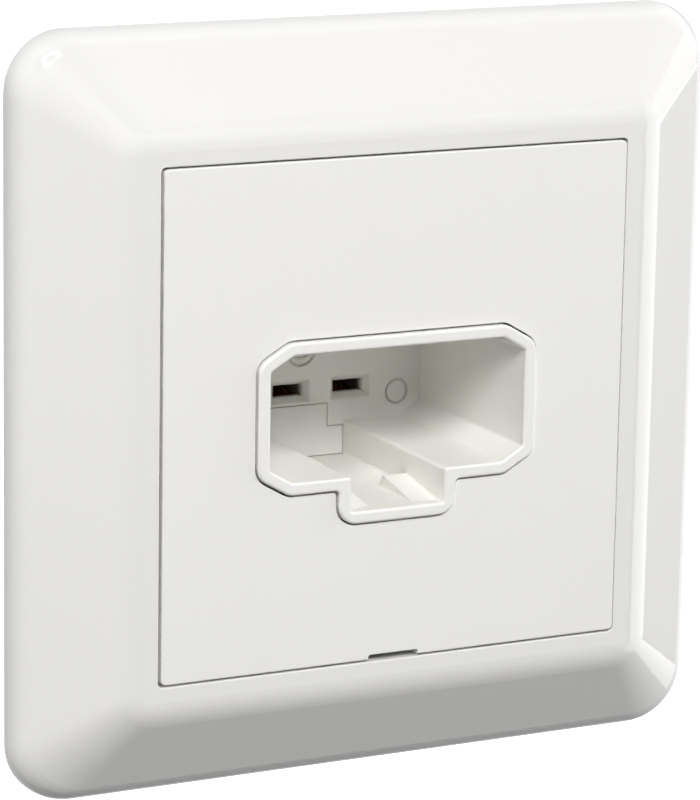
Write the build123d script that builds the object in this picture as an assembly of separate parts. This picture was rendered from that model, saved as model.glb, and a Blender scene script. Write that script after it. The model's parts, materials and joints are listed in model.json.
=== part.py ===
from build123d import *
import os
from math import hypot

# A flush-mounted wall outlet that the plug of a luminaire is pushed into.
# X runs to the right, Y into the wall and Z up, with the origin on the wall at the outlet's centre.
# A height is measured out of the wall towards the room, so that a height h lies at Y = -h.
# All sizes are in millimetres.

# Cover frame
FRAME_SIDE = 85.0
FRAME_CORNER = 6.8
FRAME_EDGE_HEIGHT = 2.95
FRAME_WALL = 2.0
FACE_HEIGHT = 9.7
LIP_WIDTH = 3.25
LIP_CORNER = 3.0
LIP_ROLL = 5.6
EDGE_ROLL = 3.8
HOLLOW_CORNER = 1.2
WINDOW_SIDE = 57.0
WINDOW_CORNER = 0.6
WINDOW_EDGE = 0.15
LEDGE_WIDTH = 1.75
LEDGE_THICKNESS = 1.6
LEDGE_WALL = 1.6
FRAME_RIB_THICKNESS = 1.4
FRAME_RIB_SPACING = 28.0
FRAME_RIB_LENGTH = 4.0
FRAME_SLIDE = -0.15

# Centre plate
PLATE_GAP = 0.22
PLATE_THICKNESS = 2.1
PLATE_EDGE = 0.2
PLATE_CORNER = 0.6
PLATE_REST = 0.1
RIM_GAP = 0.22
CUTOUT_EDGE = 0.1
SKIRT_WALL = 1.2
SKIRT_DEPTH = 1.8
NOTCH_WIDTH = 6.2
NOTCH_HEIGHT = 0.6
NOTCH_CORNER = 0.25
ARM_INSET = 4.0
ARM_SPACING = 28.0
ARM_WIDTH = 6.0
ARM_THICKNESS = 1.5
BARB_REACH = 1.1
BARB_LENGTH = 1.8
BARB_LAND = 0.4
BARB_PLAY = 0.12

# Socket opening, a keyed octagon, and the shell around it
CAVITY_WIDTH = 31.4
CAVITY_TOP = 7.1
CAVITY_BOTTOM = -7.05
CAVITY_CHAMFER_X = 2.75
CAVITY_CHAMFER_Z = 1.6
KEY_WIDTH = 11.6
KEY_BOTTOM = -11.0
KEY_EDGE = 0.1
CAVITY_CORNER = 0.3
CAVITY_DEPTH = 24.0
CAVITY_DRAFT = 0.2
SHELL_WALL = 1.4
SHELL_CORNER = 2.0
KEY_CORNER = 2.2
KEY_INNER_CORNER = 0.6
RIM_PROUD = 0.5
RIM_EDGE = 0.3
LEAD_IN = 0.3
BACK_WALL = 1.6

# Slots for the plug's blades, in a row across the back wall
SLOT_PITCH = 7.7
SLOT_MIDDLE_X = -1.3
SLOT_Z = -2.9
SLOT_WIDTH = 3.75
SLOT_HEIGHT = 1.45
FUNNEL_MARGIN = 0.6
FUNNEL_DEPTH = 0.9

# Window for the terminal base's tongue, in the back wall under the slots
TONGUE_RIGHT = 3.5
TONGUE_TOP = -4.55
TONGUE_SHOULDER = -7.3
TONGUE_PLAY = 0.08
TONGUE_RECESS = 0.03

# Fine circles that the mould's ejector pins have left on the back wall
MARK_X = 12.4
MARK_Z = -3.95
MARK_RADIUS = 1.47
RING_Z = 1.9
RING_RADIUS = 1.85
RING_CORE_RADIUS = 0.95
MARK_WIDTH = 0.18
MARK_DEPTH = 0.25

# Catch wedges on the key's floor
WEDGE_WIDTH = 3.1
WEDGE_SETBACK = 1.6
WEDGE_LENGTH = 7.4
WEDGE_HEIGHT = 1.4
WEDGE_DROP = 0.5

# Flange that seats the shell on the mounting plate
FLANGE_WIDTH = 42.4
FLANGE_HEIGHT = 31.2
FLANGE_CORNER = 3.0
FLANGE_THICKNESS = 2.0
BOSS_SPACING_X = 35.2
BOSS_SPACING_Z = 24.4
BOSS_RADIUS = 2.9
BOSS_CAP = 0.6
GUSSET_THICKNESS = 1.2
GUSSET_REACH = 3.2
GUSSET_SPACING = 20.0
GUSSET_GAP = 0.4

# Mounting plate
STEEL = 1.0
STEEL_SIDE = 71.0
STEEL_CORNER = 4.0
STEEL_OPENING_GAP = 1.1
FOLD_LENGTH = 50.0
FOLD_HEIGHT = 3.2
FOLD_ROOT = 3.0
FOLD_RELIEF = 0.6
FOLD_BEND = 0.9
BOX_SCREW_SPACING = 60.0
BOX_SLOT_WIDTH = 4.2
BOX_SLOT_LENGTH = 8.0
ARM_WINDOW_PLAY = 0.3

# Snap wedges between the shell's tube and the terminal base's sleeve
SNAP_WIDTH = 6.0
SNAP_HEIGHT = 0.8
SNAP_LENGTH = 3.0
SNAP_SETBACK = 3.4
SNAP_PLAY = 0.2
SNAP_SPACING = 18.0

# Terminal base and rear cover, which end at the depth behind the wall
INSERT_DEPTH = 32.85
SLEEVE_GAP = 0.15
SLEEVE_LENGTH = 9.9
BASE_WALL = 1.3
BASE_CORNER = 2.2
BASE_SEAT_GAP = 0.05
FRONT_WALL = 1.2
CELL_WALL = 1.5
CELL_STEP = 0.9
BLADE_WINDOW_MARGIN = 0.4
SHELF_THICKNESS = 1.0
COLUMN_SPACING = 30.0
COLUMN_RADIUS = 2.5
COVER_THICKNESS = 1.8
COVER_EDGE = 0.6
COVER_LIP = 0.8
COVER_LIP_WALL = 1.0
COVER_LIP_GAP = 0.1
ENTRY_SIDE = 3.0
ENTRY_CORNER = 0.7
ENTRY_FUNNEL = 0.6
RELEASE_WIDTH = 2.0
RELEASE_HEIGHT = 0.7
POST_WIDTH = 4.0
POST_HEIGHT = 2.0
POST_OFFSET = 3.6

# Busbars, contact jaws, rivets and clamp springs
BUSBAR = 0.8
BUSBAR_WIDTH = 5.4
BUSBAR_REACH = 6.4
BUSBAR_BEND = 1.0
BUSBAR_REAR_GAP = 2.6
BUSBAR_FRONT_GAP = 2.9
JAW = 0.5
JAW_WIDTH = 3.6
JAW_HALF = 1.9
JAW_PINCH = 0.62
JAW_MOUTH = 1.45
JAW_MOUTH_SHARE = 0.27
JAW_TAPER_SHARE = 0.33
JAW_FRONT_GAP = 0.5
JAW_BEND = 0.6
RIVET_RADIUS = 0.8
RIVET_HEAD_RADIUS = 1.2
RIVET_HEAD = 0.5
SPRING = 0.4
SPRING_WIDTH = 5.0
SPRING_BEND = 0.9
SPRING_FRONT_GAP = 2.1
SPRING_APEX_GAP = 1.2
SPRING_TIP_GAP = 5.6
SPRING_PLAY = 0.05

# Self-tapping screws
SCREW_RADIUS = 1.45
SCREW_PLAY = 0.05
SCREW_CLEARANCE = 0.2
SCREW_POINT = 1.0
SCREW_HEAD_RADIUS = 2.8
SCREW_HEAD = 1.9
SCREW_HEAD_EDGE = 0.7
SCREW_RECESS_WIDTH = 0.7
SCREW_RECESS_LENGTH = 3.0
SCREW_RECESS_DEPTH = 1.1
PLATE_SCREW_LENGTH = 5.5
COVER_SCREW_LENGTH = 9.5

# How far a cutting tool or a joined foot runs past a face
OVERRUN = 0.5

# How near two places are taken for the same
TOUCH = 0.001

# Heights and places that follow from the sizes above
RIM_FRONT = FACE_HEIGHT + RIM_PROUD
CAVITY_BACK = FACE_HEIGHT - CAVITY_DEPTH
SHELL_REAR = CAVITY_BACK - BACK_WALL
PLATE_REAR = FACE_HEIGHT - PLATE_THICKNESS
LEDGE_TOP = PLATE_REAR - PLATE_REST
BASE_SEAT = SHELL_REAR - BASE_SEAT_GAP
CELL_FRONT = BASE_SEAT - FRONT_WALL
COVER_REAR = -INSERT_DEPTH
BASE_REAR = COVER_REAR + COVER_THICKNESS
TUBE_HALF = CAVITY_WIDTH / 2 + SHELL_WALL
TUBE_TOP = CAVITY_TOP + SHELL_WALL
BASE_INNER_HALF_X = TUBE_HALF + SLEEVE_GAP
BASE_INNER_HALF_Z = TUBE_TOP + SLEEVE_GAP - SLOT_Z
BASE_HALF_X = BASE_INNER_HALF_X + BASE_WALL
BASE_HALF_Z = BASE_INNER_HALF_Z + BASE_WALL
ARM_X = WINDOW_SIDE / 2 - ARM_INSET
BUSBAR_FACE = BUSBAR_REACH + BUSBAR / 2
ENTRY_OFFSET = BUSBAR_FACE + ENTRY_SIDE / 2
POLES = {"neutral": SLOT_MIDDLE_X - SLOT_PITCH, "earth": SLOT_MIDDLE_X, "line": SLOT_MIDDLE_X + SLOT_PITCH}


def at(height):
    """Plane parallel to the wall, facing the room, at a height."""
    return Plane.XZ.offset(height)


def slab(outline, low, high):
    """Outline extruded from one height up to another."""
    return extrude(at(low) * outline, amount=high - low)


def side_profile(outline, x, width):
    """Outline in (height, Z) extruded across X, centred on x."""
    turned = mirror(outline, about=Plane.YZ)
    return extrude(Plane.YZ.offset(x) * turned, amount=width / 2, both=True)


def top_profile(outline, z, width):
    """Outline in (X, height) extruded along Z, centred on z."""
    turned = mirror(outline, about=Plane.XZ)
    return extrude(Plane.XY.offset(z) * turned, amount=width / 2, both=True)


def block(x, z, width, tall, low, high):
    """Plain block centred on (x, z), between two heights."""
    return slab(Pos(x, z) * Rectangle(width, tall), low, high)


def round_bar(x, z, radius, low, high):
    """Round bar along the height axis, between two heights."""
    return slab(Pos(x, z) * Circle(radius), low, high)


def rounded_square(side, radius):
    return RectangleRounded(side, side, radius)


def outline(points):
    return make_face(Polyline(*points, close=True))


def edges_at(body, height):
    """Edges that lie in the plane at a height."""
    return body.edges().filter_by_position(Axis.Y, -height - TOUCH, -height + TOUCH)


def front_face(body):
    return body.faces().sort_by(Axis.Y)[0]


def grid(spacing_x, spacing_z):
    """The four corners of a rectangle about the origin."""
    return [(i * spacing_x / 2, k * spacing_z / 2) for i in (-1, 1) for k in (-1, 1)]


# Outlines of the keyed socket


def sharp_outline():
    """Keyed octagon that the plug fits, with sharp corners."""
    half = CAVITY_WIDTH / 2
    key = KEY_WIDTH / 2
    right = [
        (half - CAVITY_CHAMFER_X, CAVITY_TOP),
        (half, CAVITY_TOP - CAVITY_CHAMFER_Z),
        (half, CAVITY_BOTTOM + CAVITY_CHAMFER_Z),
        (half - CAVITY_CHAMFER_X, CAVITY_BOTTOM),
        (key, CAVITY_BOTTOM),
        (key, KEY_BOTTOM),
    ]
    left = [(-x, z) for x, z in reversed(right)]
    return outline(right + left)


def rounded_outline(grow, corner, foot_corner, shoulder_corner):
    """Keyed octagon grown evenly, with a radius each for the octagon, the key's foot and its shoulders."""
    face = offset(sharp_outline(), amount=grow, kind=Kind.INTERSECTION)
    level = CAVITY_BOTTOM - grow
    inside = KEY_WIDTH / 2 + grow + TOUCH
    shoulders = [v for v in face.vertices() if abs(v.Y - level) < TOUCH and abs(v.X) < inside]
    face = fillet(shoulders, shoulder_corner)
    face = fillet(face.vertices().sort_by(Axis.Y)[:2], foot_corner)
    octagon = face.vertices().filter_by_position(Axis.Y, level - TOUCH, CAVITY_TOP + grow + TOUCH)
    return fillet([v for v in octagon if abs(v.X) > inside + shoulder_corner], corner)


def cavity_outline(draft):
    return rounded_outline(-draft, CAVITY_CORNER, CAVITY_CORNER, LEAD_IN + KEY_EDGE)


def tube_outline():
    return rounded_outline(SHELL_WALL, SHELL_CORNER, KEY_CORNER, KEY_INNER_CORNER)


def grown_tube_outline(gap):
    return offset(tube_outline(), amount=gap, kind=Kind.ARC)


def tongue_outline(play):
    """Window below the slots, as wide as the key at its foot and stepped in on its right."""
    key = KEY_WIDTH / 2 - CAVITY_DRAFT - play
    foot = KEY_BOTTOM + CAVITY_DRAFT + play
    top = TONGUE_TOP - play
    shoulder = TONGUE_SHOULDER - play
    right = TONGUE_RIGHT - play
    return outline([(-key, foot), (-key, top), (right, top), (right, shoulder), (key, shoulder), (key, foot)])


# Moulded covers


def cover_frame():
    """Hollow frame with sloping sides, a rolled lip and a ledge round its window."""
    half = FRAME_SIDE / 2
    lip = WINDOW_SIDE / 2 + LIP_WIDTH
    run = half - lip
    drop = FACE_HEIGHT - FRAME_EDGE_HEIGHT
    slant = hypot(run, drop)
    foot = rounded_square(FRAME_SIDE, FRAME_CORNER)
    top = rounded_square(2 * lip, LIP_CORNER)
    body = slab(foot, 0, FRAME_EDGE_HEIGHT)
    body += loft([at(FRAME_EDGE_HEIGHT) * foot, at(FACE_HEIGHT) * top], ruled=True)
    body = fillet(edges_at(body, FACE_HEIGHT), LIP_ROLL)
    body = fillet(edges_at(body, FRAME_EDGE_HEIGHT), EDGE_ROLL)

    # The inside follows the slope at the wall's thickness.
    slope_u = lip - FRAME_WALL * drop / slant
    slope_h = FACE_HEIGHT - FRAME_WALL * run / slant
    roof = FACE_HEIGHT - FRAME_WALL
    roof_half = slope_u + (slope_h - roof) * run / drop
    inner_half = half - FRAME_WALL
    inner_low = slope_h - (inner_half - slope_u) * drop / run
    inner_foot = rounded_square(2 * inner_half, FRAME_CORNER - FRAME_WALL)
    inner_top = rounded_square(2 * roof_half, HOLLOW_CORNER)
    hollow = slab(inner_foot, 0, inner_low)
    hollow += loft([at(inner_low) * inner_foot, at(roof) * inner_top], ruled=True)
    body -= hollow

    # The ledge carries the centre plate's edge.
    ledge_low = LEDGE_TOP - LEDGE_THICKNESS
    ring = rounded_square(WINDOW_SIDE + 2 * LEDGE_WALL, WINDOW_CORNER + LEDGE_WALL)
    body += slab(ring, ledge_low, FACE_HEIGHT - FRAME_WALL / 2)

    # Ribs stiffen the slopes, end inside the wall and stand on the mounting plate.
    rib_room = Pos(Y=-FRAME_WALL / 2) * hollow
    rib_inner = WINDOW_SIDE / 2 + LEDGE_WALL / 2
    rib_outer = WINDOW_SIDE / 2 + LEDGE_WALL + FRAME_RIB_LENGTH
    rib_length = rib_outer - rib_inner
    rib = block(rib_inner + rib_length / 2, 0, rib_length, FRAME_RIB_THICKNESS, STEEL, FACE_HEIGHT)
    for quarter in range(4):
        for place in (-FRAME_RIB_SPACING / 2, FRAME_RIB_SPACING / 2):
            body += Rot(Y=90 * quarter) * Pos(Z=place) * rib & rib_room

    body -= slab(rounded_square(WINDOW_SIDE, WINDOW_CORNER), LEDGE_TOP, FACE_HEIGHT)
    body -= slab(rounded_square(WINDOW_SIDE - 2 * LEDGE_WIDTH, WINDOW_CORNER), 0, FACE_HEIGHT)

    # Behind the centre plate's pry notch the ledge is open.
    body -= block(0, (LEDGE_WIDTH - WINDOW_SIDE) / 2, NOTCH_WIDTH, LEDGE_WIDTH, ledge_low, LEDGE_TOP)
    body = fillet(front_face(body).inner_wires()[0].edges(), WINDOW_EDGE)

    # The frame has play on its seat and has slid a little to the left.
    return Pos(X=FRAME_SLIDE) * body


def snap_arm():
    """Arm on the right of the centre plate, with a barb behind the mounting plate."""
    catch = -BARB_PLAY
    points = [
        (ARM_X, PLATE_REAR + OVERRUN),
        (ARM_X, catch - BARB_LENGTH),
        (ARM_X + ARM_THICKNESS, catch - BARB_LENGTH),
        (ARM_X + ARM_THICKNESS + BARB_REACH, catch - BARB_LAND),
        (ARM_X + ARM_THICKNESS + BARB_REACH, catch),
        (ARM_X + ARM_THICKNESS, catch),
        (ARM_X + ARM_THICKNESS, PLATE_REAR + OVERRUN),
    ]
    return top_profile(outline(points), 0, ARM_WIDTH)


def centre_plate():
    """Square plate with the socket's cut-out, a skirt behind it, a pry notch and snap arms."""
    side = WINDOW_SIDE - 2 * PLATE_GAP
    body = slab(rounded_square(side, PLATE_CORNER), PLATE_REAR, FACE_HEIGHT)
    body = fillet(edges_at(body, FACE_HEIGHT), PLATE_EDGE)
    body += slab(grown_tube_outline(RIM_GAP + SKIRT_WALL), PLATE_REAR - SKIRT_DEPTH, PLATE_REAR)
    body -= slab(grown_tube_outline(RIM_GAP), PLATE_REAR - SKIRT_DEPTH, FACE_HEIGHT)
    body = fillet(front_face(body).inner_wires()[0].edges(), CUTOUT_EDGE)

    low = -side / 2
    notch = Pos(0, low) * Rectangle(NOTCH_WIDTH, 2 * NOTCH_HEIGHT)
    notch = fillet(notch.vertices().sort_by(Axis.Y)[2:], NOTCH_CORNER)
    body -= slab(notch, PLATE_REAR, FACE_HEIGHT)

    for place in (-ARM_SPACING / 2, ARM_SPACING / 2):
        arm = Pos(Z=place) * snap_arm()
        body += arm
        body += mirror(arm, about=Plane.YZ)
    return body


# Socket shell


def blade_slot(x):
    """Slot through the back wall, with a funnel on the plug's side."""
    mouth = Rectangle(SLOT_WIDTH + 2 * FUNNEL_MARGIN, SLOT_HEIGHT + 2 * FUNNEL_MARGIN)
    throat = Rectangle(SLOT_WIDTH, SLOT_HEIGHT)
    funnel = loft([at(CAVITY_BACK) * mouth, at(CAVITY_BACK - FUNNEL_DEPTH) * throat], ruled=True)
    return Pos(x, 0, SLOT_Z) * (funnel + slab(throat, SHELL_REAR, CAVITY_BACK - FUNNEL_DEPTH))


def catch_wedge():
    """Ramp beside the key's right wall, which the plug's latch slides over."""
    front = RIM_FRONT - WEDGE_SETBACK
    peak = front - WEDGE_LENGTH
    floor = KEY_BOTTOM
    points = [
        (front, floor),
        (peak, floor + WEDGE_HEIGHT),
        (peak - WEDGE_DROP, floor),
        (peak - WEDGE_DROP, floor - OVERRUN),
        (front, floor - OVERRUN),
    ]
    key = KEY_WIDTH / 2
    return side_profile(outline(points), key - WEDGE_WIDTH / 2 + OVERRUN / 2, WEDGE_WIDTH + OVERRUN)


def side_snap(x, reach):
    """Wedge on the tube's right side, that the sleeve snaps over."""
    high = BASE_SEAT + SLEEVE_LENGTH - SNAP_SETBACK
    low = high - SNAP_LENGTH
    points = [(x - OVERRUN, high), (x + reach, high), (x, low), (x - OVERRUN, low)]
    return top_profile(outline(points), 0, SNAP_WIDTH)


def top_snap(z, reach):
    """Wedge on the tube's top."""
    high = BASE_SEAT + SLEEVE_LENGTH - SNAP_SETBACK
    low = high - SNAP_LENGTH
    points = [(high, z - OVERRUN), (high, z + reach), (low, z), (low, z - OVERRUN)]
    return side_profile(outline(points), 0, SNAP_WIDTH)


def socket_shell():
    """Keyed tube, drafted inside, with its slotted back wall, catch wedges, flange and bosses."""
    tube = slab(tube_outline(), SHELL_REAR, RIM_FRONT)
    flange_front = STEEL + FLANGE_THICKNESS
    body = tube + slab(RectangleRounded(FLANGE_WIDTH, FLANGE_HEIGHT, FLANGE_CORNER), STEEL, flange_front)
    for x, z in grid(BOSS_SPACING_X, BOSS_SPACING_Z):
        body += round_bar(x, z, BOSS_RADIUS, flange_front - OVERRUN, PLATE_SCREW_LENGTH + BOSS_CAP)

    # Gussets brace the tube's top on the flange.
    gusset_front = PLATE_REAR - SKIRT_DEPTH - GUSSET_GAP
    gusset = [
        (flange_front - OVERRUN, TUBE_TOP - OVERRUN),
        (gusset_front, TUBE_TOP - OVERRUN),
        (gusset_front, TUBE_TOP),
        (flange_front, TUBE_TOP + GUSSET_REACH),
        (flange_front - OVERRUN, TUBE_TOP + GUSSET_REACH),
    ]
    for x in (-GUSSET_SPACING / 2, GUSSET_SPACING / 2):
        body += side_profile(outline(gusset), x, GUSSET_THICKNESS)

    # The cavity narrows towards its back wall.
    mouth = at(RIM_FRONT) * cavity_outline(0)
    body -= loft([mouth, at(CAVITY_BACK) * cavity_outline(CAVITY_DRAFT)], ruled=True)
    rim = front_face(body)
    body = fillet(rim.outer_wire().edges(), RIM_EDGE)
    body = fillet(front_face(body).inner_wires()[0].edges(), LEAD_IN)

    wedge = catch_wedge()
    body += wedge
    body += mirror(wedge, about=Plane.YZ)

    for x in POLES.values():
        body -= blade_slot(x)
    body -= slab(tongue_outline(0), SHELL_REAR, CAVITY_BACK)
    marks = [(-MARK_X, MARK_Z, MARK_RADIUS), (MARK_X, MARK_Z, MARK_RADIUS)]
    marks += [(0, RING_Z, RING_RADIUS), (0, RING_Z, RING_CORE_RADIUS)]
    for x, z, radius in marks:
        groove = Circle(radius) - Circle(radius - MARK_WIDTH)
        body -= slab(Pos(x, z) * groove, CAVITY_BACK - MARK_DEPTH, CAVITY_BACK)

    snap = side_snap(TUBE_HALF, SNAP_HEIGHT)
    body += snap
    body += mirror(snap, about=Plane.YZ)
    for x in (-SNAP_SPACING / 2, SNAP_SPACING / 2):
        body += Pos(X=x) * top_snap(TUBE_TOP, SNAP_HEIGHT)

    for x, z in grid(BOSS_SPACING_X, BOSS_SPACING_Z):
        body -= round_bar(x, z, SCREW_RADIUS + SCREW_PLAY, STEEL, PLATE_SCREW_LENGTH + SCREW_PLAY)
    return body


# Steel mounting plate


def mounting_plate():
    """Pressed plate with folded edges, slots for the box screws and windows for the snap arms."""
    body = slab(rounded_square(STEEL_SIDE, STEEL_CORNER), 0, STEEL)

    # The upper and lower edges are folded towards the room, between relief cuts.
    root = STEEL_SIDE / 2 - FOLD_ROOT
    edge = STEEL_SIDE / 2 - STEEL / 2
    for side in (-1, 1):
        relief_z = side * (STEEL_SIDE / 2 + root) / 2
        body -= block(0, relief_z, FOLD_LENGTH + 2 * FOLD_RELIEF, FOLD_ROOT, 0, STEEL)
        corners = [(STEEL / 2, side * root), (STEEL / 2, side * edge), (FOLD_HEIGHT, side * edge)]
        path = FilletPolyline(*corners, radius=FOLD_BEND)
        body += side_profile(trace(path, line_width=STEEL), 0, FOLD_LENGTH)
    body -= slab(grown_tube_outline(STEEL_OPENING_GAP), 0, STEEL)

    for x in (-BOX_SCREW_SPACING / 2, BOX_SCREW_SPACING / 2):
        body -= slab(Pos(x, 0) * SlotOverall(BOX_SLOT_LENGTH, BOX_SLOT_WIDTH), 0, STEEL)

    # An arm bends inwards by its barb's reach as it is pushed through.
    low = ARM_X - BARB_REACH - ARM_WINDOW_PLAY
    high = ARM_X + ARM_THICKNESS + ARM_WINDOW_PLAY
    for place in (-ARM_SPACING / 2, ARM_SPACING / 2):
        window = block((low + high) / 2, place, high - low, ARM_WIDTH + 2 * ARM_WINDOW_PLAY, 0, STEEL)
        body -= window
        body -= mirror(window, about=Plane.YZ)

    for x, z in grid(BOSS_SPACING_X, BOSS_SPACING_Z):
        body -= round_bar(x, z, SCREW_RADIUS + SCREW_CLEARANCE, 0, STEEL)
    return body


# Terminal base and its cover


def base_outline(half_x, half_z, radius):
    return Pos(0, SLOT_Z) * RectangleRounded(2 * half_x, 2 * half_z, radius)


def terminal_base():
    """Sleeve over the socket's tube, and behind it the cells for the three poles."""
    sleeve_front = BASE_SEAT + SLEEVE_LENGTH
    inner_corner = BASE_CORNER - BASE_WALL
    inner = base_outline(BASE_INNER_HALF_X, BASE_INNER_HALF_Z, inner_corner)
    body = slab(base_outline(BASE_HALF_X, BASE_HALF_Z, BASE_CORNER), BASE_REAR, sleeve_front)
    body -= slab(inner, BASE_SEAT, sleeve_front)
    body -= slab(inner, BASE_REAR, CELL_FRONT)

    # Walls part the poles, and shelves carry each busbar's ends.
    step = BASE_REAR + CELL_STEP
    tall = 2 * BASE_INNER_HALF_Z + OVERRUN
    for place in range(len(POLES) + 1):
        x = SLOT_MIDDLE_X + (place - len(POLES) / 2) * SLOT_PITCH
        body += block(x, SLOT_Z, CELL_WALL, tall, step, CELL_FRONT + OVERRUN)
    shelf_rear = BASE_REAR + BUSBAR_REAR_GAP + BUSBAR + BUSBAR_BEND
    shelf_centre = BUSBAR_REACH - BUSBAR / 2 - SPRING_PLAY - SHELF_THICKNESS / 2
    for x in POLES.values():
        for z in (SLOT_Z - shelf_centre, SLOT_Z + shelf_centre):
            body += block(x, z, SLOT_PITCH, SHELF_THICKNESS, shelf_rear, CELL_FRONT + OVERRUN)

    for x in (-COLUMN_SPACING / 2, COLUMN_SPACING / 2):
        body += round_bar(x, SLOT_Z, COLUMN_RADIUS, step, CELL_FRONT + OVERRUN)
        depth = COVER_REAR + COVER_SCREW_LENGTH + SCREW_PLAY
        body -= round_bar(x, SLOT_Z, SCREW_RADIUS + SCREW_PLAY, step, depth)

    blade_width = SLOT_WIDTH + 2 * BLADE_WINDOW_MARGIN
    blade_height = SLOT_HEIGHT + 2 * BLADE_WINDOW_MARGIN
    for x in POLES.values():
        body -= block(x, SLOT_Z, blade_width, blade_height, CELL_FRONT, BASE_SEAT)
    body += slab(tongue_outline(TONGUE_PLAY), BASE_SEAT - OVERRUN, CAVITY_BACK - TONGUE_RECESS)

    # Snap windows catch the wedges on the tube.
    high = sleeve_front - SNAP_SETBACK + SNAP_PLAY
    low = high - SNAP_LENGTH - 2 * SNAP_PLAY
    wide = SNAP_WIDTH + 2 * SNAP_PLAY
    body -= block(0, 0, 2 * BASE_HALF_X + OVERRUN, wide, low, high)
    for x in (-SNAP_SPACING / 2, SNAP_SPACING / 2):
        body -= block(x, TUBE_TOP + BASE_WALL, wide, 2 * BASE_WALL, low, high)
    return body


def wire_entry(x, side):
    """Rounded square hole with a funnel outside and a notch for a release tool."""
    hole = rounded_square(ENTRY_SIDE, ENTRY_CORNER)
    mouth = rounded_square(ENTRY_SIDE + 2 * ENTRY_FUNNEL, ENTRY_CORNER + ENTRY_FUNNEL)
    cut = slab(hole, COVER_REAR, BASE_REAR)
    cut += loft([at(COVER_REAR) * mouth, at(COVER_REAR + ENTRY_FUNNEL) * hole], ruled=True)
    notch_z = side * (ENTRY_SIDE + RELEASE_HEIGHT) / 2
    notch_tall = RELEASE_HEIGHT + OVERRUN
    cut += block(0, notch_z - side * OVERRUN / 2, RELEASE_WIDTH, notch_tall, COVER_REAR, BASE_REAR)
    return Pos(x, 0, SLOT_Z + side * ENTRY_OFFSET) * cut


def rear_cover():
    """Plate over the cells, with a locating lip, the wire entries and posts behind the busbars."""
    body = slab(base_outline(BASE_HALF_X, BASE_HALF_Z, BASE_CORNER), COVER_REAR, BASE_REAR)
    body = fillet(edges_at(body, COVER_REAR), COVER_EDGE)
    lip_x = BASE_INNER_HALF_X - COVER_LIP_GAP
    lip_z = BASE_INNER_HALF_Z - COVER_LIP_GAP
    lip_corner = BASE_CORNER - BASE_WALL
    lip = base_outline(lip_x, lip_z, lip_corner)
    lip -= Pos(0, SLOT_Z) * Rectangle(2 * (lip_x - COVER_LIP_WALL), 2 * (lip_z - COVER_LIP_WALL))
    body += slab(lip, BASE_REAR, BASE_REAR + COVER_LIP)

    post_front = BASE_REAR + BUSBAR_REAR_GAP - SPRING_PLAY
    for x in POLES.values():
        for side in (-1, 1):
            z = SLOT_Z + side * POST_OFFSET
            body += block(x, z, POST_WIDTH, POST_HEIGHT, BASE_REAR - OVERRUN, post_front)
            body -= wire_entry(x, side)
    for x in (-COLUMN_SPACING / 2, COLUMN_SPACING / 2):
        body -= round_bar(x, SLOT_Z, SCREW_RADIUS + SCREW_CLEARANCE, COVER_REAR, BASE_REAR + COVER_LIP)
    return body


# Metal parts of one pole


def busbar(x):
    """Brass strip bent to a C, open towards the room."""
    rear = BASE_REAR + BUSBAR_REAR_GAP + BUSBAR / 2
    front = CELL_FRONT - BUSBAR_FRONT_GAP
    path = FilletPolyline(
        (front, SLOT_Z + BUSBAR_REACH),
        (rear, SLOT_Z + BUSBAR_REACH),
        (rear, SLOT_Z - BUSBAR_REACH),
        (front, SLOT_Z - BUSBAR_REACH),
        radius=BUSBAR_BEND,
    )
    strip = side_profile(trace(path, line_width=BUSBAR), x, BUSBAR_WIDTH)
    return strip - rivet_bore(x)


def rivet_bore(x):
    web_rear = BASE_REAR + BUSBAR_REAR_GAP
    return round_bar(x, SLOT_Z, RIVET_RADIUS, web_rear, web_rear + BUSBAR + JAW)


def contact_jaw(x):
    """Spring bronze hairpin with a pinched throat and a flared mouth."""
    back = BASE_REAR + BUSBAR_REAR_GAP + BUSBAR + JAW / 2
    mouth = CELL_FRONT - JAW_FRONT_GAP
    length = mouth - back
    pinch = mouth - JAW_MOUTH_SHARE * length
    taper = pinch - JAW_TAPER_SHARE * length
    upper = [(mouth, JAW_MOUTH), (pinch, JAW_PINCH), (taper, JAW_HALF), (back, JAW_HALF)]
    lower = [(height, -z) for height, z in reversed(upper)]
    path = FilletPolyline(*[(height, SLOT_Z + z) for height, z in upper + lower], radius=JAW_BEND)
    return side_profile(trace(path, line_width=JAW), x, JAW_WIDTH) - rivet_bore(x)


def jaw_rivet(x):
    """Rivet through the jaw's back and the busbar's web."""
    rear = BASE_REAR + BUSBAR_REAR_GAP
    front = rear + BUSBAR + JAW
    shank = round_bar(x, SLOT_Z, RIVET_RADIUS, rear - RIVET_HEAD, front + RIVET_HEAD)
    rear_head = round_bar(x, SLOT_Z, RIVET_HEAD_RADIUS, rear - RIVET_HEAD, rear)
    front_head = round_bar(x, SLOT_Z, RIVET_HEAD_RADIUS, front, front + RIVET_HEAD)
    return shank + rear_head + front_head


def clamp_spring(x, side):
    """Leaf spring: one leg on the cell's outer wall, the other slanting down to the busbar."""
    apex = BASE_REAR + SPRING_APEX_GAP
    root_z = BASE_INNER_HALF_Z - SPRING_PLAY - SPRING / 2
    root_front = CELL_FRONT - SPRING_FRONT_GAP
    tip = CELL_FRONT - SPRING_TIP_GAP
    rise = root_z - BUSBAR_FACE
    tip_z = BUSBAR_FACE + SPRING_PLAY + SPRING / 2 * (tip - apex) / hypot(tip - apex, rise)
    corners = [(root_front, root_z), (apex, root_z), (tip, tip_z)]
    path = FilletPolyline(*[(height, SLOT_Z + side * z) for height, z in corners], radius=SPRING_BEND)
    return side_profile(trace(path, line_width=SPRING), x, SPRING_WIDTH)


# Fasteners


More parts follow.
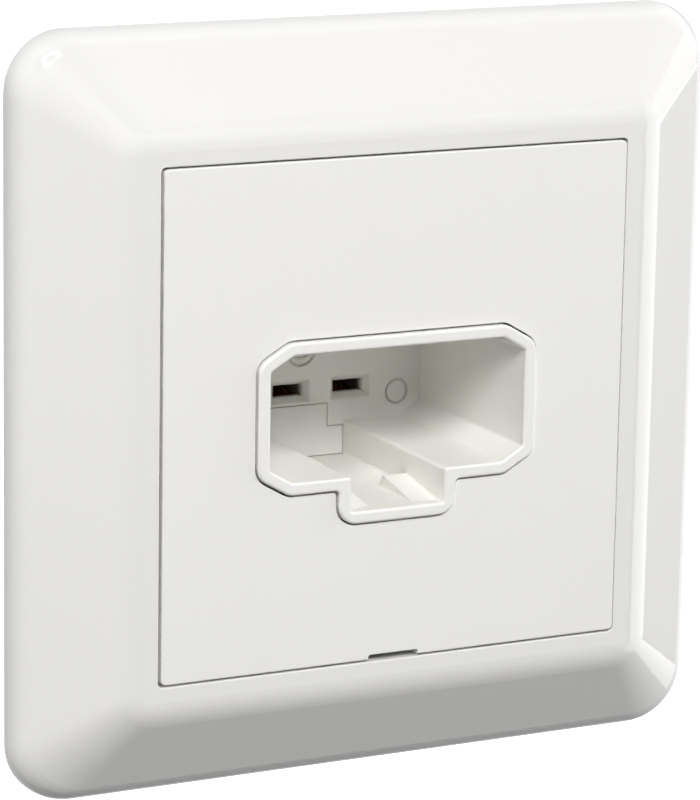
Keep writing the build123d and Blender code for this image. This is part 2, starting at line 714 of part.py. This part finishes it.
def screw(length):
    """Self-tapping screw along the height axis, its head below the wall plane."""
    half = [
        (0, -SCREW_HEAD),
        (SCREW_HEAD_RADIUS - SCREW_HEAD_EDGE, -SCREW_HEAD),
        (SCREW_HEAD_RADIUS, -SCREW_HEAD + SCREW_HEAD_EDGE),
        (SCREW_HEAD_RADIUS, 0),
        (SCREW_RADIUS, 0),
        (SCREW_RADIUS, length - SCREW_POINT),
        (SCREW_RADIUS / 3, length),
        (0, length),
    ]
    body = revolve(Plane.XY * mirror(outline(half), about=Plane.XZ), axis=Axis.Y)
    recess_top = -SCREW_HEAD + SCREW_RECESS_DEPTH
    for turn in (0, 90):
        slot = Rot(Z=turn) * Rectangle(SCREW_RECESS_LENGTH, SCREW_RECESS_WIDTH)
        body -= slab(slot, -SCREW_HEAD, recess_top)
    return body


def plate_screws():
    return [Pos(x, 0, z) * screw(PLATE_SCREW_LENGTH) for x, z in grid(BOSS_SPACING_X, BOSS_SPACING_Z)]


def cover_screws():
    places = (-COLUMN_SPACING / 2, COLUMN_SPACING / 2)
    return [Pos(x, -COVER_REAR, SLOT_Z) * screw(COVER_SCREW_LENGTH) for x in places]


def group(bodies):
    """Separate solids that share one node."""
    return Compound(children=[solid for body in bodies for solid in body.solids()])


nodes = {
    "cover_frame": cover_frame(),
    "centre_plate": centre_plate(),
    "socket_shell": socket_shell(),
    "mounting_plate": mounting_plate(),
    "terminal_base": terminal_base(),
    "rear_cover": rear_cover(),
    "jaw_rivets": group([jaw_rivet(x) for x in POLES.values()]),
    "plate_screws": group(plate_screws()),
    "cover_screws": group(cover_screws()),
}
for pole, x in POLES.items():
    nodes[f"busbar_{pole}"] = busbar(x)
    nodes[f"contact_jaw_{pole}"] = contact_jaw(x)
    nodes[f"clamp_spring_{pole}_upper"] = clamp_spring(x, 1)
    nodes[f"clamp_spring_{pole}_lower"] = clamp_spring(x, -1)

os.makedirs("parts", exist_ok=True)
for name, body in nodes.items():
    export_step(body, f"parts/{name}.step")
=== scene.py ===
import json
from math import cos, radians, sin

import bmesh
import bpy
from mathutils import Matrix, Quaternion, Vector

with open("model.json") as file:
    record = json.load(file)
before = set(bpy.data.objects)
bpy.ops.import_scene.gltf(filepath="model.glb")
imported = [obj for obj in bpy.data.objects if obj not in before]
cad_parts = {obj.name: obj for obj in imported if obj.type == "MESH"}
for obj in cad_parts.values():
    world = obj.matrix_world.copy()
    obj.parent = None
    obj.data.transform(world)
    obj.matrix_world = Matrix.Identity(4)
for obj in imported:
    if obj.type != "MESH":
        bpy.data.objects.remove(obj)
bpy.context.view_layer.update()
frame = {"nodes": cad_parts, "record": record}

# A flush wall outlet for a luminaire's plug, seen from the upper left of the room.
# Lengths are in metres unless a name says otherwise, and angles in degrees.
MM = 0.001

# Camera at the photograph's place, looking at a point beside the socket
CAMERA_PLACE = (-0.20219, -0.39167, 0.09825)
CAMERA_AIM = (-0.00587, -0.00956, 0.00154)
CAMERA_ROLL = 0.993
CAMERA_LENS = 181.7
CAMERA_SENSOR = 36.0

# Depths along Y, from the wall's face: the socket rim's front, the depth of the painted shade on
# its face, and the span over which the mouldings' edges get softer
RIM_FACE = -10.2 * MM
RIM_SHADE_DEPTH = 0.8 * MM
EDGE_NEAR = -9 * MM
EDGE_FAR = 4 * MM
# Rays that look for an edge to soften
EDGE_SAMPLES = 8

# Sizes of the patterns in the finishes, and how much finer detail each holds
PLASTIC_CLOUD_MM = 14
PLASTIC_GLOSS_MM = 5
METAL_CLOUD_MM = 3
METAL_LINE_DEPTH = 0.004 * MM
CLOUD_DETAIL = 3.0
GRAIN_DETAIL = 2.0
METAL_DETAIL = 4.0
# Noise values that stand for a finish's smoothest and roughest spots
NOISE_LOW = 0.3
NOISE_HIGH = 0.7
# Refractive index of the mouldings
PLASTIC_IOR = 1.52

# Floor: its colour and glow where it shows, and its colour in the light that it throws back
FLOOR_HEIGHT = -0.1025
FLOOR_SIDE = 6.0
FLOOR_SEEN = "#F2F2F2"
FLOOR_BOUNCE = "#2E2E2E"
FLOOR_GLOW = 0.85

# Ring dish: an elliptical lamp with a dark deflector before its middle
DISH_AZIMUTH = -24
DISH_ELEVATION = 47
DISH_DISTANCE = 1.1
DISH_SIZE = (0.44, 0.58)
DISH_WATTS = 3.3
DISH_ROLL = 51
DEFLECTOR_SIZE = 0.2
DEFLECTOR_GAP = 0.04

# Other lamps: name, azimuth, elevation, distance, width, height, watts
KEY_LIGHT = ("key_light", -17, 37, 1.1, 0.5, 0.5, 12.6)
RIGHT_SOFTBOX = ("right_softbox", 68.5, -18.5, 1.2, 1.1, 0.7, 3.3)
FILLS = (
    ("right_fill", 68, -2, 1.2, 0.7, 0.9, 7.1),
    ("right_graze", 95, 8, 1.2, 0.7, 0.8, 14.4),
    ("left_fill", -78, 12, 1.2, 0.7, 0.8, 1.7),
    ("left_graze", -100, 8, 1.2, 0.7, 0.8, 4.6),
    ("back_fill", 172, 7, 1.3, 0.9, 0.5, 9.0),
)

# Dark cards in the gloss: one overhead, and upright ones by name, azimuth, elevation, width, height
CEILING_PLACE = (0.2, -1.08, 1.2)
CEILING_SIZE = (2.8, 1.45)
FLAG_DISTANCE = 1.2
FLAGS = (
    ("slope_flag", 95.3, -9, 0.14, 0.52),
    ("strip_flag", 44, 0, 0.126, 1.7),
    ("corner_flag", 65, 31, 0.7, 0.55),
    ("rear_flag", 120, 13, 0.87, 0.4),
)


def linear(code):
    """Linear RGBA of an sRGB hex colour."""
    channels = [int(code[i:i + 2], 16) / 255 for i in (1, 3, 5)]
    return [c / 12.92 if c <= 0.04045 else ((c + 0.055) / 1.055) ** 2.4 for c in channels] + [1.0]


def per(size_mm):
    """Texture scale that gives features of a size in millimetres."""
    return 1 / (size_mm * MM)


def node(tree, kind, inputs=None, **settings):
    """Adds a node, sets its properties and gives each input a value or a link."""
    made = tree.nodes.new(kind)
    for name, value in settings.items():
        setattr(made, name, value)
    for name, value in (inputs or {}).items():
        if isinstance(value, bpy.types.NodeSocket):
            tree.links.new(value, made.inputs[name])
        else:
            made.inputs[name].default_value = value
    return made


def new_material(name):
    """Material with an empty node tree, and that tree."""
    material = bpy.data.materials.new(name)
    material.use_nodes = True
    material.node_tree.nodes.clear()
    return material, material.node_tree


def moulded_plastic(name, pale, deep, rough, grain_mm, grain_depth_mm, round_mm, painted_rim_shade=None):
    """Moulded plastic: faint clouds, uneven gloss, the mould's grain as bump, and soft edges."""
    material, tree = new_material(name)
    place = node(tree, "ShaderNodeTexCoord").outputs["Object"]
    cloud = node(
        tree, "ShaderNodeTexNoise",
        {"Vector": place, "Scale": per(PLASTIC_CLOUD_MM), "Detail": CLOUD_DETAIL},
    )
    colour = node(
        tree, "ShaderNodeMix",
        {"Factor": cloud.outputs["Fac"], "A": linear(deep), "B": linear(pale)},
        data_type="RGBA",
    )
    depth = node(tree, "ShaderNodeSeparateXYZ", {"Vector": place}).outputs["Y"]
    # Painted shade: the rim's front face turns a darker white than the socket's depths, which are
    # painted paler to make up for light that does not reach into the hollow
    if painted_rim_shade:
        front = node(tree, "ShaderNodeMapRange", {
            "Value": depth,
            "From Min": RIM_FACE,
            "From Max": RIM_FACE + RIM_SHADE_DEPTH,
            "To Min": 1.0,
            "To Max": 0.0,
        })
        colour = node(
            tree, "ShaderNodeMix",
            {"Factor": front.outputs["Result"], "A": colour.outputs["Result"], "B": linear(painted_rim_shade)},
            data_type="RGBA",
        )
    gloss = node(
        tree, "ShaderNodeTexNoise",
        {"Vector": place, "Scale": per(PLASTIC_GLOSS_MM), "Detail": GRAIN_DETAIL},
    )
    roughness = node(tree, "ShaderNodeMapRange", {
        "Value": gloss.outputs["Fac"],
        "From Min": NOISE_LOW,
        "From Max": NOISE_HIGH,
        "To Min": rough[0],
        "To Max": rough[1],
    })
    grain = node(
        tree, "ShaderNodeTexNoise",
        {"Vector": place, "Scale": per(grain_mm), "Detail": GRAIN_DETAIL},
    )
    radius = node(tree, "ShaderNodeMapRange", {
        "Value": depth,
        "From Min": EDGE_NEAR,
        "From Max": EDGE_FAR,
        "To Min": round_mm[0] * MM,
        "To Max": round_mm[1] * MM,
    })
    edge = node(
        tree, "ShaderNodeBevel", {"Radius": radius.outputs["Result"]}, samples=EDGE_SAMPLES
    )
    bump = node(tree, "ShaderNodeBump", {
        "Height": grain.outputs["Fac"],
        "Distance": grain_depth_mm * MM,
        "Normal": edge.outputs["Normal"],
    })
    shader = node(tree, "ShaderNodeBsdfPrincipled", {
        "Base Color": colour.outputs["Result"],
        "Roughness": roughness.outputs["Result"],
        "IOR": PLASTIC_IOR,
        "Normal": bump.outputs["Normal"],
    })
    node(tree, "ShaderNodeOutputMaterial", {"Surface": shader.outputs["BSDF"]})
    return material


def rolled_metal(name, pale, deep, rough, stretch, line_mm):
    """Bare or plated strip: rolling lines, long where stretch is small, and a cloudy tarnish."""
    material, tree = new_material(name)
    place = node(tree, "ShaderNodeTexCoord").outputs["Object"]
    drawn = node(tree, "ShaderNodeMapping", {"Vector": place, "Scale": stretch})
    lines = node(
        tree, "ShaderNodeTexNoise",
        {"Vector": drawn.outputs["Vector"], "Scale": per(line_mm), "Detail": METAL_DETAIL},
    )
    cloud = node(
        tree, "ShaderNodeTexNoise",
        {"Vector": place, "Scale": per(METAL_CLOUD_MM), "Detail": METAL_DETAIL},
    )
    colour = node(
        tree, "ShaderNodeMix",
        {"Factor": cloud.outputs["Fac"], "A": linear(deep), "B": linear(pale)},
        data_type="RGBA",
    )
    roughness = node(tree, "ShaderNodeMapRange", {
        "Value": lines.outputs["Fac"],
        "From Min": NOISE_LOW,
        "From Max": NOISE_HIGH,
        "To Min": rough[0],
        "To Max": rough[1],
    })
    bump = node(
        tree, "ShaderNodeBump",
        {"Height": lines.outputs["Fac"], "Distance": METAL_LINE_DEPTH},
    )
    shader = node(tree, "ShaderNodeBsdfPrincipled", {
        "Base Color": colour.outputs["Result"],
        "Metallic": 1.0,
        "Roughness": roughness.outputs["Result"],
        "Normal": bump.outputs["Normal"],
    })
    node(tree, "ShaderNodeOutputMaterial", {"Surface": shader.outputs["BSDF"]})
    return material


def seen_directly(tree):
    """1 for what the camera, a reflection or clear matter shows, 0 for light between surfaces."""
    path = node(tree, "ShaderNodeLightPath").outputs
    seen = path["Is Camera Ray"]
    for kind in ("Is Glossy Ray", "Is Transmission Ray"):
        either = node(tree, "ShaderNodeMath", {0: seen, 1: path[kind]}, operation="MAXIMUM")
        seen = either.outputs["Value"]
    return seen


def out_from(azimuth, elevation):
    """Direction from the outlet; azimuth 0 is straight in front of it and 90 on its right."""
    side, rise = radians(azimuth), radians(elevation)
    return Vector((sin(side) * cos(rise), -cos(side) * cos(rise), sin(rise)))


def stage_card(name, width, height, place, out, material):
    """Flat card that faces along a direction."""
    mesh = bmesh.new()
    bmesh.ops.create_grid(mesh, x_segments=1, y_segments=1, size=0.5)
    bmesh.ops.scale(mesh, verts=mesh.verts, vec=(width, height, 1))
    bmesh.ops.rotate(mesh, verts=mesh.verts, matrix=out.to_track_quat("Z", "Y").to_matrix())
    bmesh.ops.translate(mesh, verts=mesh.verts, vec=place)
    data = bpy.data.meshes.new(name)
    mesh.to_mesh(data)
    mesh.free()
    data.materials.append(material)
    card = bpy.data.objects.new(name, data)
    bpy.context.collection.objects.link(card)
    return card


def white_paint():
    """Matt white paint: white where it shows, and dimmer in the light that it throws back."""
    material, tree = new_material("matt white paint")
    seen = seen_directly(tree)
    colour = node(
        tree, "ShaderNodeMix",
        {"Factor": seen, "A": linear(FLOOR_BOUNCE), "B": linear(FLOOR_SEEN)},
        data_type="RGBA",
    )
    glow = node(tree, "ShaderNodeMath", {0: seen, 1: FLOOR_GLOW}, operation="MULTIPLY")
    shader = node(tree, "ShaderNodeBsdfPrincipled", {
        "Base Color": colour.outputs["Result"],
        "Roughness": 0.9,
        "Emission Color": linear("#FFFFFF"),
        "Emission Strength": glow.outputs["Value"],
    })
    node(tree, "ShaderNodeOutputMaterial", {"Surface": shader.outputs["BSDF"]})
    return material


def black_felt():
    """Matt black felt of the studio's dark cards."""
    material, tree = new_material("black felt")
    shader = node(
        tree, "ShaderNodeBsdfPrincipled", {"Base Color": linear("#1A1A1A"), "Roughness": 1.0}
    )
    node(tree, "ShaderNodeOutputMaterial", {"Surface": shader.outputs["BSDF"]})
    return material


def studio_world():
    """White where it shows, and no light of its own on surfaces."""
    world = bpy.data.worlds.new("studio")
    world.use_nodes = True
    tree = world.node_tree
    tree.nodes.clear()
    light = node(
        tree, "ShaderNodeBackground",
        {"Color": linear("#FFFFFF"), "Strength": seen_directly(tree)},
    )
    node(tree, "ShaderNodeOutputWorld", {"Surface": light.outputs["Background"]})
    bpy.context.scene.world = world


def lamp(
    name, azimuth, elevation, distance, width, height, watts,
    shape="RECTANGLE", gloss=False, matt=True, roll=0,
):
    """Soft lamp that faces the outlet and shows in its gloss, lights its matt colour, or both."""
    out = out_from(azimuth, elevation)
    light = bpy.data.lights.new(name, "AREA")
    light.shape = shape
    light.size = width
    light.size_y = height
    light.energy = watts
    made = bpy.data.objects.new(name, light)
    made.location = out * distance
    made.rotation_mode = "QUATERNION"
    look = (-out).to_track_quat("-Z", "Y")
    made.rotation_quaternion = look @ Quaternion((0, 0, 1), radians(roll))
    made.visible_glossy = gloss
    made.visible_diffuse = matt
    bpy.context.collection.objects.link(made)


def photo_camera():
    """Camera at the photograph's viewing angle, rolled by a degree."""
    data = bpy.data.cameras.new("photo_camera")
    data.lens = CAMERA_LENS
    data.sensor_width = CAMERA_SENSOR
    camera = bpy.data.objects.new("photo_camera", data)
    camera.location = CAMERA_PLACE
    look = (Vector(CAMERA_AIM) - Vector(CAMERA_PLACE)).to_track_quat("-Z", "Y")
    camera.rotation_mode = "QUATERNION"
    camera.rotation_quaternion = look @ Quaternion((0, 0, 1), radians(CAMERA_ROLL))
    bpy.context.collection.objects.link(camera)
    bpy.context.scene.camera = camera


# Finishes, one for each of the record's slots
FINISHES = {
    # From a polished mould: clear reflections with a faint ripple, and crisp edges
    "gloss_white_plastic": moulded_plastic(
        "gloss white polycarbonate", pale="#E8E7E5", deep="#E6E5E3", rough=(0.04, 0.07),
        grain_mm=3.0, grain_depth_mm=0.001, round_mm=(0.02, 0.1),
    ),
    # From an etched mould: an even, soft sheen; the grain is drawn coarser than it is, to show
    "satin_white_plastic": moulded_plastic(
        "satin white polycarbonate", pale="#EEEDEB", deep="#ECEBE9", rough=(0.42, 0.5),
        grain_mm=0.3, grain_depth_mm=0.003, round_mm=(0.1, 0.1),
    ),
    # Semi-gloss and a little warmer, with edges that soften in the depth;
    # painted paler to light up the shaded hollow, with painted shade darkening the rim's front face
    "socket_plastic": moulded_plastic(
        "white polyamide", pale="#F8F7F3", deep="#F6F5F0", rough=(0.28, 0.36),
        grain_mm=0.5, grain_depth_mm=0.002, round_mm=(0.2, 0.5), painted_rim_shade="#EEEDEA",
    ),
    # Unpolished behind the wall: matt, with a plain mould grain
    "terminal_plastic": moulded_plastic(
        "matt white polyamide", pale="#F2F1EE", deep="#F0EFEB", rough=(0.4, 0.5),
        grain_mm=0.4, grain_depth_mm=0.003, round_mm=(0.2, 0.2),
    ),
    # Bright zinc: bluish and slightly cloudy, with upright rolling lines
    "zinc_plated_steel": rolled_metal(
        "zinc plated steel", pale="#CDD1D6", deep="#B9BDC4", rough=(0.28, 0.4),
        stretch=(1, 1, 0.05), line_mm=0.3,
    ),
    # Warm yellow strip with fine lines along it
    "brass": rolled_metal(
        "rolled brass", pale="#DDB978", deep="#C99F55", rough=(0.22, 0.34),
        stretch=(1, 0.06, 0.06), line_mm=0.2,
    ),
    # Redder than brass, with the same lines
    "spring_bronze": rolled_metal(
        "rolled spring bronze", pale="#D9A57A", deep="#C28A5C", rough=(0.22, 0.34),
        stretch=(1, 0.06, 0.06), line_mm=0.2,
    ),
    # Grey and brighter in its reflections
    "spring_steel": rolled_metal(
        "rolled spring steel", pale="#C4C4C4", deep="#A9A9A8", rough=(0.2, 0.32),
        stretch=(1, 0.06, 0.06), line_mm=0.2,
    ),
    # Plated in a barrel: no lines, only a fine mottle
    "screw_steel": rolled_metal(
        "zinc plated screw steel", pale="#CFD2D4", deep="#B4B8BB", rough=(0.24, 0.36),
        stretch=(1, 1, 1), line_mm=0.4,
    ),
}


def dress_nodes():
    """Gives every node the finish of its slot."""
    for part in frame["record"]["subparts"]:
        data = frame["nodes"][part["node"]].data
        data.materials.clear()
        data.materials.append(FINISHES[part["material_slot"]])


def light_studio():
    """Soft key above the camera, a dish and a softbox in the gloss, and fills round the outlet."""
    lamp(*KEY_LIGHT, shape="DISK")
    lamp(
        "ring_dish", DISH_AZIMUTH, DISH_ELEVATION, DISH_DISTANCE, *DISH_SIZE, DISH_WATTS,
        shape="ELLIPSE", gloss=True, matt=False, roll=DISH_ROLL,
    )
    lamp(*RIGHT_SOFTBOX, gloss=True)
    for fill in FILLS:
        lamp(*fill)


def set_stage():
    """Floor, the dish's deflector, and dark cards that bound the bands in the gloss."""
    up = Vector((0, 0, 1))
    floor = stage_card(
        "studio_floor", FLOOR_SIDE, FLOOR_SIDE, up * FLOOR_HEIGHT, up, white_paint()
    )
    floor.visible_glossy = False
    felt = black_felt()
    out = out_from(DISH_AZIMUTH, DISH_ELEVATION)
    deflector = stage_card(
        "dish_deflector", DEFLECTOR_SIZE, DEFLECTOR_SIZE,
        out * (DISH_DISTANCE - DEFLECTOR_GAP), -out, felt,
    )
    deflector.visible_diffuse = False
    deflector.visible_shadow = False
    cards = [stage_card("studio_ceiling", *CEILING_SIZE, Vector(CEILING_PLACE), -up, felt)]
    for name, azimuth, elevation, width, height in FLAGS:
        out = out_from(azimuth, elevation)
        cards.append(stage_card(name, width, height, out * FLAG_DISTANCE, -out, felt))
    for card in cards:
        for hidden in ("visible_camera", "visible_diffuse", "visible_shadow"):
            setattr(card, hidden, False)


dress_nodes()
studio_world()
set_stage()
light_studio()
photo_camera()
bpy.context.scene.view_settings.view_transform = "Standard"
